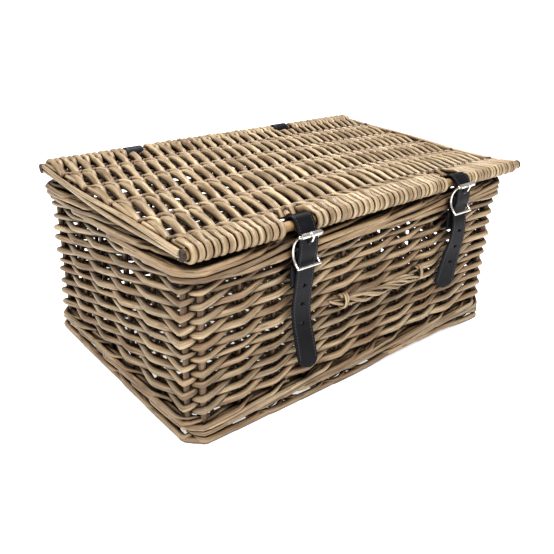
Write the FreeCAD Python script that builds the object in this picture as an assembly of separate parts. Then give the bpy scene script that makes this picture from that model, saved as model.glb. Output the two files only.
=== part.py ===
import FreeCAD, Part
import math
import os

# Lidded willow trunk with two leather straps.  Millimetres, +Z up, front face towards -Y.
# Everything is laid out about the middle of the basket and moved at the end, so that the
# origin is under the middle of the whole object.

# --- basket -------------------------------------------------------------------------------
WALL_LENGTH = 441.0
WALL_DEPTH = 300.0
WALL_THICKNESS = 16.0
CORNER_CHAMFER = 15.0
FOOT_HEIGHT = 10.0
FOOT_PROUD = 3.5
WALE_HEIGHT = 16.0
WALE_PROUD = 2.0
WEAVE_HEIGHT = 137.0
BORDER_HEIGHT = 24.0
BORDER_PROUD = 4.5
BASE_THICKNESS = 12.0
BASE_STICK_RADIUS = 4.0
BASE_STICK_COUNT = 7
POST_RADIUS = 3.75
STAKE_RADIUS = 2.5
ROD_CLEARANCE = 0.15
STAKE_BESIDE_STRAP = 21.0
OUTER_BAY_STAKES = 1
MIDDLE_BAY_STAKES = 3
SIDE_STAKES = 4

# --- lid ----------------------------------------------------------------------------------
LID_OVERHANG = 11.5
LID_LENGTH = WALL_LENGTH + 2 * LID_OVERHANG
LID_STICK_SET_IN = 5.0
LID_SPAN = WALL_DEPTH - 2 * LID_STICK_SET_IN
LID_SHIFT_X = 7.0
LID_SHIFT_Y = -6.0
LID_GAP = 11.0
LID_STICK_RADIUS = 5.0
LID_WRAP = 3.35
LID_THICKNESS = 15.0
LID_STICK_NUB = 4.0
LID_CROSS_STICK_RADIUS = 4.0
LID_CROSS_STICK_COUNT = 5
LID_BINDING_RADIUS = 2.0
LID_BINDING_RISE = 4.5
LID_EDGE_RADIUS = 4.0

# --- leather ------------------------------------------------------------------------------
STRAP_WIDTH = 22.0
STRAP_THICKNESS = 2.2
STRAP_X = (-0.229 * WALL_LENGTH, 0.2766 * WALL_LENGTH)
STRAP_SLACK = 1.5
STRAP_SLOT_BELOW_BORDER = 16.0
STRAP_NOTCH_SIDE = 3.0
STRAP_WRAP_ANGLES = (120, 80, 40, 0)
STRAP_TURN_OUT = 3.5
STRAP_TURN_UP = 2.8
STRAP_TURN_DOWN = 1.5
STRAP_OFF_INSIDE = 0.6
STRAP_OFF_FRONT = 1.5
CHAPE_START_RISE = 6.0
CHAPE_END_RISE = 10.0
CHAPE_TAPER = 5.0
TAIL_FLAT = 4.0
TAIL_LIFT = 2.0
LEFT_TAIL = ((-10.0, -36.0), (-8.0, -55.0), (-9.0, -73.0), (-15.5, -95.0), (-23.5, -120.0))
RIGHT_TAIL = ((-14.0, -29.0), (-13.5, -48.0), (-10.0, -67.0), (-6.5, -91.0), (-4.0, -112.0))
HINGE_WIDTH = 22.0
HINGE_THICKNESS = 2.0
HINGE_X = (-0.2585 * WALL_LENGTH, 0.2449 * WALL_LENGTH)
HINGE_NOTCH_SIDE = 2.0
HINGE_SLOT_BELOW_BORDER = 3.0
HINGE_WRAP_ANGLES = (10, 40, 70, 100, 130, 160)
HINGE_KNEE = 0.5
HINGE_BEND = 2.0
LEATHER_CLEARANCE = 0.3

# --- buckles ------------------------------------------------------------------------------
BAR_ABOVE_BORDER_FOOT = (14.0, 19.0)
BUCKLE_RISE = 15.3
BUCKLE_BOW = 7.9
BUCKLE_WIRE_RADIUS = 1.4
CENTRE_BAR_RADIUS = 1.5
BUCKLE_SIDE_CLEARANCE = 0.7
ROLLER_RADIUS = 2.6
ROLLER_BORE_CLEARANCE = 0.2
ROLLER_END_CLEARANCE = 0.3
PRONG_WIDTH = 2.4
PRONG_THICKNESS = 1.6
PRONG_SLOT_WIDTH = 4.4
PRONG_SLOT_ROOM = 1.25
PRONG_HOLE_LOW = 1.5
PRONG_HOLE_HIGH = 9.5
PRONG_KNEE = 5.2
PRONG_REACH = 9.6
PRONG_WRAP_ANGLES = (200, 166, 132)

# --- front handle -------------------------------------------------------------------------
HANDLE_RADIUS = 5.5
HANDLE_LEFT_X = STRAP_X[0] + 55.0
HANDLE_RIGHT_X = STRAP_X[1] - 42.0
HANDLE_LEFT_BELOW_BORDER = 62.0
HANDLE_RIGHT_BELOW_BORDER = 62.0
HANDLE_JOINTS = 7
HANDLE_RISE = 6.0
HANDLE_BOW = 19.0

# --- worked out from the sizes above --------------------------------------------------------
HALF_LENGTH = WALL_LENGTH / 2
HALF_DEPTH = WALL_DEPTH / 2
WALE_Z = FOOT_HEIGHT
WEAVE_Z = WALE_Z + WALE_HEIGHT
BORDER_Z = WEAVE_Z + WEAVE_HEIGHT
BORDER_TOP = BORDER_Z + BORDER_HEIGHT
FRONT_FACE = -HALF_DEPTH
INSIDE_FRONT = FRONT_FACE + WALL_THICKNESS
INSIDE_BACK = -INSIDE_FRONT
BORDER_FRONT = FRONT_FACE - BORDER_PROUD
BORDER_BACK = -BORDER_FRONT
LID_Z = BORDER_TOP + LID_GAP
LID_LEFT = LID_SHIFT_X - LID_LENGTH / 2
LID_RIGHT = LID_SHIFT_X + LID_LENGTH / 2
LID_FRONT_Y = LID_SHIFT_Y - LID_SPAN / 2
LID_BACK_Y = LID_SHIFT_Y + LID_SPAN / 2
SLEEVE_RADIUS = LID_STICK_RADIUS + LID_WRAP
HALF_STRAP = STRAP_THICKNESS / 2
HANDLE_LEFT_Z = BORDER_Z - HANDLE_LEFT_BELOW_BORDER
HANDLE_RIGHT_Z = BORDER_Z - HANDLE_RIGHT_BELOW_BORDER
CHAPE_GAP = CENTRE_BAR_RADIUS + ROD_CLEARANCE + STRAP_THICKNESS + LEATHER_CLEARANCE
BAR_Y = BORDER_FRONT - CHAPE_GAP
ROLLER_Y = BAR_Y - BUCKLE_BOW
SIDE_X = STRAP_WIDTH / 2 + BUCKLE_SIDE_CLEARANCE + BUCKLE_WIRE_RADIUS
STRAP_SLOT_Z = BORDER_Z - STRAP_SLOT_BELOW_BORDER
HINGE_SLOT_Z = BORDER_Z - HINGE_SLOT_BELOW_BORDER
HALF_HINGE = HINGE_THICKNESS / 2
HINGE_INSIDE_Y = min(INSIDE_BACK, LID_BACK_Y - LID_STICK_RADIUS) - LEATHER_CLEARANCE - HALF_HINGE
BIG = 2 * (WALL_LENGTH + WALL_DEPTH)


def point(x, y, z):
    return FreeCAD.Vector(x, y, z)


def box(x0, x1, y0, y1, z0, z1):
    return Part.makeBox(x1 - x0, y1 - y0, z1 - z0, point(x0, y0, z0))


def bar_x(x0, x1, y, z, radius):
    """A round bar along X."""
    return Part.makeCylinder(radius, x1 - x0, point(x0, y, z), point(1, 0, 0))


def bar_z(x, y, z0, z1, radius):
    """A round upright."""
    return Part.makeCylinder(radius, z1 - z0, point(x, y, z0), point(0, 0, 1))


def bar_between(a, b, radius):
    return Part.makeCylinder(radius, (b - a).Length, a, b - a)


def evenly(start, end, count):
    """count places between start and end, neither of them included."""
    step = (end - start) / (count + 1)
    return [start + step * (i + 1) for i in range(count)]


def outline(proud):
    """Corners of the basket's plan, anticlockwise, set out from the wall's face by proud."""
    x = HALF_LENGTH + proud
    y = HALF_DEPTH + proud
    c = CORNER_CHAMFER + proud * (2 - math.sqrt(2))
    return [
        (-x + c, -y), (x - c, -y), (x, -y + c), (x, y - c),
        (x - c, y), (-x + c, y), (-x, y - c), (-x, -y + c),
    ]


def prism(corners, z0, z1):
    """An upright prism on corners, given as (x, y)."""
    points = [point(x, y, z0) for x, y in corners]
    face = Part.Face(Part.makePolygon(points + points[:1]))
    return face.extrude(point(0, 0, z1 - z0))


def slab_x(corners, x0, x1):
    """A slab between x0 and x1 on corners, given as (y, z)."""
    points = [point(x0, y, z) for y, z in corners]
    face = Part.Face(Part.makePolygon(points + points[:1]))
    return face.extrude(point(x1 - x0, 0, 0))


def ring(proud, z0, z1):
    inner = prism(outline(-WALL_THICKNESS), z0, z1)
    return prism(outline(proud), z0, z1).cut(inner)


def offset_side(path, distance, closed):
    """The path of (y, z) points moved sideways by distance, with mitred corners."""
    side = []
    count = len(path)
    for i, (y, z) in enumerate(path):
        before = path[i - 1] if i or closed else None
        after = path[(i + 1) % count] if i < count - 1 or closed else None
        a = before or (2 * y - after[0], 2 * z - after[1])
        b = after or (2 * y - before[0], 2 * z - before[1])
        d1 = unit(y - a[0], z - a[1])
        d2 = unit(b[0] - y, b[1] - z)
        n = unit(-d1[1] - d2[1], d1[0] + d2[0])
        stretch = distance / (-n[0] * d1[1] + n[1] * d1[0])
        side.append((y + n[0] * stretch, z + n[1] * stretch))
    return side


def unit(y, z):
    length = math.hypot(y, z)
    return (y / length, z / length)


def band(path, thickness, x0, x1):
    """A leather band along an open path of (y, z) points."""
    left = offset_side(path, thickness / 2, False)
    right = offset_side(path, -thickness / 2, False)
    return slab_x(left + right[::-1], x0, x1)


def closed_band(path, thickness, x0, x1):
    a = slab_x(offset_side(path, thickness / 2, True), x0, x1)
    b = slab_x(offset_side(path, -thickness / 2, True), x0, x1)
    return a.cut(b) if a.Volume > b.Volume else b.cut(a)


def round_stick(y, z, radius, angles):
    """Places round a stick along X, by angle in degrees from +Y."""
    turns = [math.radians(a) for a in angles]
    return [(y + radius * math.cos(t), z + radius * math.sin(t)) for t in turns]


# --- basket -------------------------------------------------------------------------------
def strap_sides(centres):
    return [x + side * STAKE_BESIDE_STRAP for x in centres for side in (-1, 1)]


def bay_stakes(end, centres):
    """Stakes of a long wall: one each side of every strap or hinge, the rest spread between."""
    a, b, c, d = strap_sides(centres)
    outer = evenly(-end, a, OUTER_BAY_STAKES) + [a, b]
    return outer + evenly(b, c, MIDDLE_BAY_STAKES) + [c, d]


def post_places():
    return outline(-WALL_THICKNESS / 2)


def stake_places():
    """Where the stakes stand, for each wall, as (x, y)."""
    middle = post_places()
    end_x = middle[1][0]
    end_y = middle[3][1]
    x = middle[2][0]
    y = middle[4][1]
    sides = evenly(-end_y, end_y, SIDE_STAKES)
    return {
        "front": [(s, -y) for s in bay_stakes(end_x, STRAP_X)],
        "right": [(x, s) for s in sides],
        "back": [(s, y) for s in bay_stakes(end_x, HINGE_X)],
        "left": [(-x, s) for s in sides],
    }


def uprights(places, radius, z0, z1):
    return Part.makeCompound([bar_z(x, y, z0, z1, radius) for x, y in places])


def all_channels():
    stakes = [p for places in stake_places().values() for p in places]
    cuts = [uprights(stakes, STAKE_RADIUS + ROD_CLEARANCE, WALE_Z, BORDER_Z)]
    cuts.append(uprights(post_places(), POST_RADIUS + ROD_CLEARANCE, WALE_Z, BORDER_Z))
    return cuts


def strap_slots():
    half_x = STRAP_WIDTH / 2 + LEATHER_CLEARANCE
    half_z = HALF_STRAP + LEATHER_CLEARANCE
    z0 = STRAP_SLOT_Z - half_z
    z1 = STRAP_SLOT_Z + half_z
    return [box(x - half_x, x + half_x, -BIG, 0, z0, z1) for x in STRAP_X]


def hinge_slots():
    half_x = HINGE_WIDTH / 2 + LEATHER_CLEARANCE
    half_z = HALF_HINGE + LEATHER_CLEARANCE
    z0 = HINGE_SLOT_Z - half_z
    z1 = HINGE_SLOT_Z + half_z
    return [box(x - half_x, x + half_x, 0, BIG, z0, z1) for x in HINGE_X]


def ring_pieces(kind, proud, z0, z1):
    """A ring round the basket in eight pieces, mitred at the corner posts."""
    names = (
        "front", "front_right_corner", "right", "back_right_corner",
        "back", "back_left_corner", "left", "front_left_corner",
    )
    outer = outline(proud)
    inner = outline(-WALL_THICKNESS)
    pieces = {}
    for i, name in enumerate(names):
        j = (i + 1) % len(names)
        pieces[name + kind] = prism([outer[i], outer[j], inner[j], inner[i]], z0, z1)
    return pieces


def wall_pieces():
    """The weave between the lower wale and the border."""
    channels = all_channels()
    pieces = {}
    for name, piece in ring_pieces("_weave", 0, WEAVE_Z, BORDER_Z).items():
        name = name if "corner" in name else name.replace("_weave", "_wall_weave")
        pieces[name] = piece.cut(channels)
    pieces["front_wall_weave"] = pieces["front_wall_weave"].cut(strap_slots())
    pieces["back_wall_weave"] = pieces["back_wall_weave"].cut(hinge_slots())
    return pieces


def base_pieces():
    plate_z = WEAVE_Z - BASE_THICKNESS - ROD_CLEARANCE
    middle_z = plate_z + BASE_THICKNESS / 2
    inner_x = HALF_LENGTH - WALL_THICKNESS
    inner_y = HALF_DEPTH - WALL_THICKNESS
    rows = evenly(-inner_y, inner_y, BASE_STICK_COUNT)
    channel = BASE_STICK_RADIUS + ROD_CLEARANCE
    plate = prism(outline(-WALL_THICKNESS), plate_z, plate_z + BASE_THICKNESS)
    plate = plate.cut([bar_x(-inner_x, inner_x, y, middle_z, channel) for y in rows])
    sticks = [bar_x(-inner_x, inner_x, y, middle_z, BASE_STICK_RADIUS) for y in rows]
    return {"base_weave": plate, "base_sticks": Part.makeCompound(sticks)}


def handle():
    """A rope of willow bowed out from the front wall, both ends worked into it."""
    points = []
    for i in range(HANDLE_JOINTS):
        t = i / (HANDLE_JOINTS - 1)
        swell = math.sin(math.pi * t)
        x = HANDLE_LEFT_X + (HANDLE_RIGHT_X - HANDLE_LEFT_X) * t
        z = HANDLE_LEFT_Z + (HANDLE_RIGHT_Z - HANDLE_LEFT_Z) * t + HANDLE_RISE * swell
        points.append(point(x, FRONT_FACE - HANDLE_BOW * math.sqrt(swell), z))
    runs = [bar_between(a, b, HANDLE_RADIUS) for a, b in zip(points, points[1:])]
    knees = [Part.makeSphere(HANDLE_RADIUS, p) for p in points]
    rope = runs[0].fuse(runs[1:] + knees)
    return rope.common(box(-BIG, BIG, -BIG, FRONT_FACE, 0, BORDER_Z)).removeSplitter()


def basket():
    nodes = {"foot_border": ring(FOOT_PROUD, 0, FOOT_HEIGHT)}
    nodes["lower_wale"] = ring(WALE_PROUD, WALE_Z, WEAVE_Z).cut(all_channels())
    nodes.update(ring_pieces("_border", BORDER_PROUD, BORDER_Z, BORDER_TOP))
    nodes.update(base_pieces())
    nodes.update(wall_pieces())
    for side, places in stake_places().items():
        nodes[side + "_stakes"] = uprights(places, STAKE_RADIUS, WALE_Z, BORDER_Z)
    names = (
        "front_left_post_1", "front_right_post_1", "front_right_post_2", "back_right_post_1",
        "back_right_post_2", "back_left_post_1", "back_left_post_2", "front_left_post_2",
    )
    for name, (x, y) in zip(names, post_places()):
        nodes[name] = bar_z(x, y, WALE_Z, BORDER_Z, POST_RADIUS)
    nodes["front_handle"] = handle()
    return nodes


# --- lid ----------------------------------------------------------------------------------
def lid_rows():
    """Cross sticks along the lid, and the thin binding rods between them, as y places."""
    step = LID_SPAN / (LID_CROSS_STICK_COUNT + 0.5)
    sticks = [LID_BACK_Y - step * (i + 0.5) for i in range(LID_CROSS_STICK_COUNT)]
    rods = [y - step / 2 for y in sticks]
    return sticks, rods


def lid_notches():
    """Gaps in the lid's weave where the straps and the hinge loops go round its sticks."""
    z0 = LID_Z - LID_THICKNESS
    z1 = LID_Z + LID_THICKNESS
    half = STRAP_WIDTH / 2 + STRAP_NOTCH_SIDE
    notch_end = INSIDE_FRONT + STRAP_THICKNESS + 2 * LEATHER_CLEARANCE + STRAP_SLACK
    cuts = [box(x - half, x + half, -BIG, notch_end, z0, z1) for x in STRAP_X]
    half = HINGE_WIDTH / 2 + HINGE_NOTCH_SIDE
    notch_end = HINGE_INSIDE_Y - HALF_HINGE - LEATHER_CLEARANCE - STRAP_SLACK
    return cuts + [box(x - half, x + half, notch_end, BIG, z0, z1) for x in HINGE_X]


def lid_weave(left, right):
    plate_left = left + 2 * LID_EDGE_RADIUS + ROD_CLEARANCE
    plate_right = right - 2 * LID_EDGE_RADIUS - ROD_CLEARANCE
    z0 = LID_Z - LID_THICKNESS / 2
    weave = box(plate_left, plate_right, LID_FRONT_Y, LID_BACK_Y, z0, z0 + LID_THICKNESS)
    ends = (LID_FRONT_Y, LID_BACK_Y)
    weave = weave.fuse([bar_x(left, right, y, LID_Z, SLEEVE_RADIUS) for y in ends])
    sticks, rods = lid_rows()
    bore = LID_STICK_RADIUS + ROD_CLEARANCE
    cuts = [bar_x(LID_LEFT, LID_RIGHT, y, LID_Z, bore) for y in ends]
    bore = LID_CROSS_STICK_RADIUS + ROD_CLEARANCE
    cuts += [bar_x(LID_LEFT, LID_RIGHT, y, LID_Z, bore) for y in sticks]
    bore = LID_BINDING_RADIUS + ROD_CLEARANCE
    cuts += [bar_x(LID_LEFT, LID_RIGHT, y, LID_Z + LID_BINDING_RISE, bore) for y in rods]
    return weave.cut(cuts + lid_notches())


def lid():
    left = LID_LEFT
    right = LID_RIGHT - LID_STICK_NUB
    nodes = {"lid_front_stick": bar_x(left, LID_RIGHT, LID_FRONT_Y, LID_Z, LID_STICK_RADIUS)}
    nodes["lid_back_stick"] = bar_x(left, LID_RIGHT, LID_BACK_Y, LID_Z, LID_STICK_RADIUS)
    nodes["lid_weave"] = lid_weave(left, right)
    inner_left = left + 2 * LID_EDGE_RADIUS + ROD_CLEARANCE
    inner_right = right - 2 * LID_EDGE_RADIUS - ROD_CLEARANCE
    sticks, rods = lid_rows()
    for i, y in enumerate(sticks):
        name = "lid_cross_stick_%d" % (i + 1)
        nodes[name] = bar_x(inner_left, inner_right, y, LID_Z, LID_CROSS_STICK_RADIUS)
    for i, y in enumerate(rods):
        name = "lid_binding_rod_%d" % (i + 1)
        z = LID_Z + LID_BINDING_RISE
        nodes[name] = bar_x(inner_left, inner_right, y, z, LID_BINDING_RADIUS)
    a = LID_FRONT_Y + SLEEVE_RADIUS + ROD_CLEARANCE
    b = LID_BACK_Y - SLEEVE_RADIUS - ROD_CLEARANCE
    for name, x in (("left", left + LID_EDGE_RADIUS), ("right", right - LID_EDGE_RADIUS)):
        edge = bar_between(point(x, a, LID_Z), point(x, b, LID_Z), LID_EDGE_RADIUS)
        nodes["lid_%s_edge_rod" % name] = edge
    return nodes


# --- leather ------------------------------------------------------------------------------
def strap_tail(side, bar_height):
    """The free end of a strap, as (y, z), from the roller down to the tip."""
    hanging = LEFT_TAIL if side == "left" else RIGHT_TAIL
    roller_back = ROLLER_Y + ROLLER_RADIUS + LEATHER_CLEARANCE + HALF_STRAP
    chape_front = BAR_Y - CENTRE_BAR_RADIUS - ROD_CLEARANCE - STRAP_THICKNESS
    over_chape = chape_front - LEATHER_CLEARANCE - HALF_STRAP
    buckle = [
        (roller_back, bar_height + BUCKLE_RISE),
        (over_chape, bar_height + TAIL_FLAT),
        (over_chape, bar_height - TAIL_FLAT),
        (over_chape + TAIL_LIFT, bar_height - BUCKLE_RISE),
    ]
    return buckle + [(FRONT_FACE + dy, bar_height + dz) for dy, dz in hanging]


def strap(side, x, bar_height):
    """One strap: from the buckle's centre bar through the wall, up inside, over the lid's
    front stick, behind the roller and down, with its tail through the buckle."""
    round_radius = LID_STICK_RADIUS + STRAP_SLACK + HALF_STRAP
    over_stick = round_stick(LID_FRONT_Y, LID_Z, round_radius, STRAP_WRAP_ANGLES)
    turn = INSIDE_FRONT + HALF_STRAP + LEATHER_CLEARANCE
    inside = turn + STRAP_OFF_INSIDE
    lid_under = BORDER_TOP + LEATHER_CLEARANCE + HALF_STRAP
    chape_y = BORDER_FRONT - LEATHER_CLEARANCE - HALF_STRAP
    path = strap_tail(side, bar_height)[::-1] + over_stick
    path += [(turn - STRAP_TURN_OUT, lid_under + STRAP_TURN_UP), (inside, lid_under - STRAP_TURN_DOWN)]
    path += [(inside, STRAP_SLOT_Z), (FRONT_FACE - STRAP_OFF_FRONT, STRAP_SLOT_Z)]
    path += [(chape_y, STRAP_SLOT_Z + CHAPE_START_RISE), (chape_y, bar_height)]
    x0 = x - STRAP_WIDTH / 2
    x1 = x + STRAP_WIDTH / 2
    leather = band(path, STRAP_THICKNESS, x0, x1)
    fold = bar_x(x0, x1, BAR_Y, bar_height, CENTRE_BAR_RADIUS + ROD_CLEARANCE + STRAP_THICKNESS)
    doubled = [
        (chape_y, STRAP_SLOT_Z + CHAPE_END_RISE),
        (chape_y, bar_height),
        (BAR_Y - CENTRE_BAR_RADIUS - STRAP_THICKNESS, bar_height),
        (BAR_Y - CENTRE_BAR_RADIUS, bar_height - CHAPE_TAPER),
        (chape_y - STRAP_THICKNESS - HALF_STRAP, STRAP_SLOT_Z + CHAPE_END_RISE),
    ]
    leather = leather.fuse([fold, slab_x(doubled, x0, x1)])
    bore = bar_x(x0, x1, BAR_Y, bar_height, CENTRE_BAR_RADIUS + ROD_CLEARANCE)
    half = PRONG_SLOT_WIDTH / 2
    eye = CENTRE_BAR_RADIUS + ROD_CLEARANCE + PRONG_THICKNESS + PRONG_SLOT_ROOM
    low = bar_height + PRONG_HOLE_LOW
    high = bar_height + PRONG_HOLE_HIGH
    fold_slot = box(x - half, x + half, BAR_Y - eye, BORDER_FRONT, bar_height - eye, bar_height + eye)
    hole = box(x - half, x + half, ROLLER_Y, BAR_Y - CENTRE_BAR_RADIUS, low, high)
    return leather.cut([bore, fold_slot, hole]).removeSplitter()


def hinge_loop(x):
    """A leather loop round the lid's back stick and the basket's top border."""
    radius = LID_STICK_RADIUS + LEATHER_CLEARANCE + HALF_HINGE
    outside = BORDER_BACK + LEATHER_CLEARANCE + HALF_HINGE
    half_step = math.radians(HINGE_WRAP_ANGLES[1] - HINGE_WRAP_ANGLES[0]) / 2
    path = [(outside, HINGE_SLOT_Z), (outside, BORDER_TOP + HINGE_KNEE)]
    path += round_stick(LID_BACK_Y, LID_Z, radius / math.cos(half_step), HINGE_WRAP_ANGLES)
    path += [(HINGE_INSIDE_Y, LID_Z - HINGE_BEND), (HINGE_INSIDE_Y, HINGE_SLOT_Z)]
    return closed_band(path, HINGE_THICKNESS, x - HINGE_WIDTH / 2, x + HINGE_WIDTH / 2)


# --- buckles ------------------------------------------------------------------------------
def buckle_frame(x, bar_height):
    """Double-bar frame: two bowed sides, an upper axle, a centre bar and a lower bar."""
    top = bar_height + BUCKLE_RISE
    low = bar_height - BUCKLE_RISE
    pieces = [bar_x(x - SIDE_X, x + SIDE_X, BAR_Y, bar_height, CENTRE_BAR_RADIUS)]
    pieces += [bar_x(x - SIDE_X, x + SIDE_X, ROLLER_Y, z, BUCKLE_WIRE_RADIUS) for z in (top, low)]
    for side in (x - SIDE_X, x + SIDE_X):
        ends = [point(side, ROLLER_Y, top), point(side, ROLLER_Y, low)]
        arc = Part.Arc(ends[0], point(side, BAR_Y, bar_height), ends[1]).toShape()
        start = Part.makeCircle(BUCKLE_WIRE_RADIUS, ends[0], arc.tangentAt(arc.FirstParameter))
        pieces.append(Part.Wire([arc]).makePipeShell([Part.Wire([start])], True, False))
        pieces += [Part.makeSphere(BUCKLE_WIRE_RADIUS, end) for end in ends]
    return pieces[0].fuse(pieces[1:]).removeSplitter()


def buckle_roller(x, bar_height):
    half = SIDE_X - BUCKLE_WIRE_RADIUS - ROLLER_END_CLEARANCE
    z = bar_height + BUCKLE_RISE
    bore = BUCKLE_WIRE_RADIUS + ROLLER_BORE_CLEARANCE
    tube = bar_x(x - half, x + half, ROLLER_Y, z, ROLLER_RADIUS)
    return tube.cut(bar_x(x - half, x + half, ROLLER_Y, z, bore))


def buckle_prong(x, bar_height):
    """An eye round the centre bar and an arm through the strap to the top of the roller."""
    roller_z = bar_height + BUCKLE_RISE
    reach = ROLLER_RADIUS + ROLLER_BORE_CLEARANCE + PRONG_THICKNESS / 2
    bore = CENTRE_BAR_RADIUS + ROD_CLEARANCE
    eye_middle = bore + PRONG_THICKNESS / 2
    half_step = math.radians(PRONG_WRAP_ANGLES[0] - PRONG_WRAP_ANGLES[1]) / 2
    start = eye_middle * math.cos(math.pi / 4)
    path = [(BAR_Y - d, bar_height + d) for d in (start, PRONG_KNEE, PRONG_REACH)]
    path += round_stick(ROLLER_Y, roller_z, reach / math.cos(half_step), PRONG_WRAP_ANGLES)
    x0 = x - PRONG_WIDTH / 2
    x1 = x + PRONG_WIDTH / 2
    eye = bar_x(x0, x1, BAR_Y, bar_height, bore + PRONG_THICKNESS)
    prong = eye.fuse(band(path, PRONG_THICKNESS, x0, x1))
    return prong.cut(bar_x(x0, x1, BAR_Y, bar_height, bore))


def leather_and_buckles():
    nodes = {}
    for i, side in enumerate(("left", "right")):
        x = STRAP_X[i]
        bar_height = BORDER_Z + BAR_ABOVE_BORDER_FOOT[i]
        nodes[side + "_strap"] = strap(side, x, bar_height)
        nodes[side + "_buckle_frame"] = buckle_frame(x, bar_height)
        nodes[side + "_buckle_roller"] = buckle_roller(x, bar_height)
        nodes[side + "_buckle_prong"] = buckle_prong(x, bar_height)
        nodes[side + "_hinge_loop"] = hinge_loop(HINGE_X[i])
    return nodes


def main():
    nodes = basket()
    nodes.update(lid())
    nodes.update(leather_and_buckles())
    whole = Part.makeCompound(list(nodes.values())).BoundBox
    shift = point(-(whole.XMin + whole.XMax) / 2, -(whole.YMin + whole.YMax) / 2, -whole.ZMin)
    os.makedirs("parts", exist_ok=True)
    for name, shape in nodes.items():
        shape.translate(shift)
        shape.exportStep("parts/%s.step" % name)
    return nodes, shift


main()
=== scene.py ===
import bpy
import math
import random
from mathutils import Matrix, Vector


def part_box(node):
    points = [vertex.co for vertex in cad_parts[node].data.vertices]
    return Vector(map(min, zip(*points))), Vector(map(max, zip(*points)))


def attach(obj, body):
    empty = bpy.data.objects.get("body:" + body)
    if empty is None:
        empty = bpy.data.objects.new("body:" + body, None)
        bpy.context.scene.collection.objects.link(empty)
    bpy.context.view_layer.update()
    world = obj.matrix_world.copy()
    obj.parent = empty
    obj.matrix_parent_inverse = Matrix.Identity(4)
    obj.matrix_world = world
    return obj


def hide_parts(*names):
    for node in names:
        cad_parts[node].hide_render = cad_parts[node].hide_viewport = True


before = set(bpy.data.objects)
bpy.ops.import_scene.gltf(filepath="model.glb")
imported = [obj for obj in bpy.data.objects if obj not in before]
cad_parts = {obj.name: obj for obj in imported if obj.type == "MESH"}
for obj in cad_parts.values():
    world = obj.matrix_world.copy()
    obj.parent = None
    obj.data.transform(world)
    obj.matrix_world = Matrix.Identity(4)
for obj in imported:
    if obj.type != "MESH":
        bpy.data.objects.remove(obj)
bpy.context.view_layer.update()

MM = 0.001
BASKET = "basket"
LID = "lid"
SIDES = ("left", "right")
WHITE = (1, 1, 1, 1)

# --- camera, light and floor ---


def place_camera():
    """A 43 mm view of the near left corner, a little rolled."""
    turn = math.radians(-39.75)
    lift = math.radians(25.61)
    roll = math.radians(1.68)
    aim = Vector((0.0749, 0.1021, -0.0019))
    distance = 0.957
    back = Vector((math.sin(turn) * math.cos(lift), -math.cos(turn) * math.cos(lift), math.sin(lift)))
    right = (-back).cross(Vector((0, 0, 1))).normalized()
    up = right.cross(-back)
    rolled_right = math.cos(roll) * right + math.sin(roll) * up
    rolled_up = math.cos(roll) * up - math.sin(roll) * right
    data = bpy.data.cameras.new("camera")
    data.lens = 43.154
    data.shift_x = -0.0069
    camera = put_in_scene("camera", data)
    facing = Matrix((rolled_right, rolled_up, back)).transposed()
    camera.matrix_world = Matrix.Translation(aim + back * distance) @ facing.to_4x4()
    bpy.context.scene.camera = camera


def soft_box(name, place, size, power):
    """A round soft light that looks at the middle of the basket."""
    data = bpy.data.lights.new(name, "AREA")
    data.shape = "DISK"
    data.size = size
    data.energy = power
    light = put_in_scene(name, data)
    light.location = place
    light.rotation_euler = (Vector((0, 0, 0.1)) - Vector(place)).to_track_quat("-Z", "Y").to_euler()


def light_the_room():
    world = bpy.data.worlds.new("white_room")
    world.use_nodes = True
    fill(world.node_tree, world.node_tree.nodes["Background"], {"Color": WHITE, "Strength": 0.42})
    bpy.context.scene.world = world
    soft_box("key", (-0.75, -0.85, 1.5), 0.7, 24)
    soft_box("top", (0.35, 0.55, 1.6), 0.6, 22)
    bpy.context.scene.view_settings.view_transform = "Standard"
    bpy.context.scene.view_settings.look = "Medium High Contrast"


def lay_floor():
    half = 60.0
    corners = [(-half, -half, 0), (half, -half, 0), (half, half, 0), (-half, half, 0)]
    floor = put_in_scene("floor", mesh_of("floor", corners, [], [(0, 1, 2, 3)]))
    paint, tree, shader = new_material("pale_floor")
    fill(tree, shader, {"Base Color": (0.80, 0.80, 0.80, 1), "Roughness": 0.9})
    fill(tree, shader, {"Emission Color": WHITE, "Emission Strength": 0.6})
    floor.data.materials.append(paint)


# --- node helpers ---


def put_in_scene(name, data):
    thing = bpy.data.objects.new(name, data)
    bpy.context.scene.collection.objects.link(thing)
    return thing


def mesh_of(name, places, edges, faces):
    mesh = bpy.data.meshes.new(name)
    mesh.from_pydata(places, edges, faces)
    return mesh


def fill(tree, node, values):
    """Sets a node's inputs; a value that is another node's output is linked instead."""
    for name, value in values.items():
        if isinstance(value, bpy.types.NodeSocket):
            tree.links.new(value, node.inputs[name])
        else:
            node.inputs[name].default_value = value


def add_node(tree, kind, values=None, **settings):
    node = tree.nodes.new(kind)
    for name, value in settings.items():
        setattr(node, name, value)
    fill(tree, node, values or {})
    return node


def colour_steps(tree, source, steps):
    """A colour ramp of (place, colour) steps, looked up by source."""
    ramp = add_node(tree, "ShaderNodeValToRGB", {0: source})
    bands = ramp.color_ramp.elements
    while len(bands) < len(steps):
        bands.new(0.5)
    for band, (place, colour) in zip(bands, steps):
        band.position = place
        band.color = (*colour, 1)
    return ramp.outputs[0]


def grey(level):
    return level, level, level


def maths(tree, operation, a, b):
    return add_node(tree, "ShaderNodeMath", {0: a, 1: b}, operation=operation).outputs[0]


def mixed(tree, blend, amount, a, b):
    """One colour laid over another; these are the node's colour sockets."""
    values = {0: amount, 6: a, 7: b}
    return add_node(tree, "ShaderNodeMix", values, data_type="RGBA", blend_type=blend).outputs[2]


def attribute(tree, name, output):
    return add_node(tree, "ShaderNodeAttribute", attribute_name=name).outputs[output]


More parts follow.
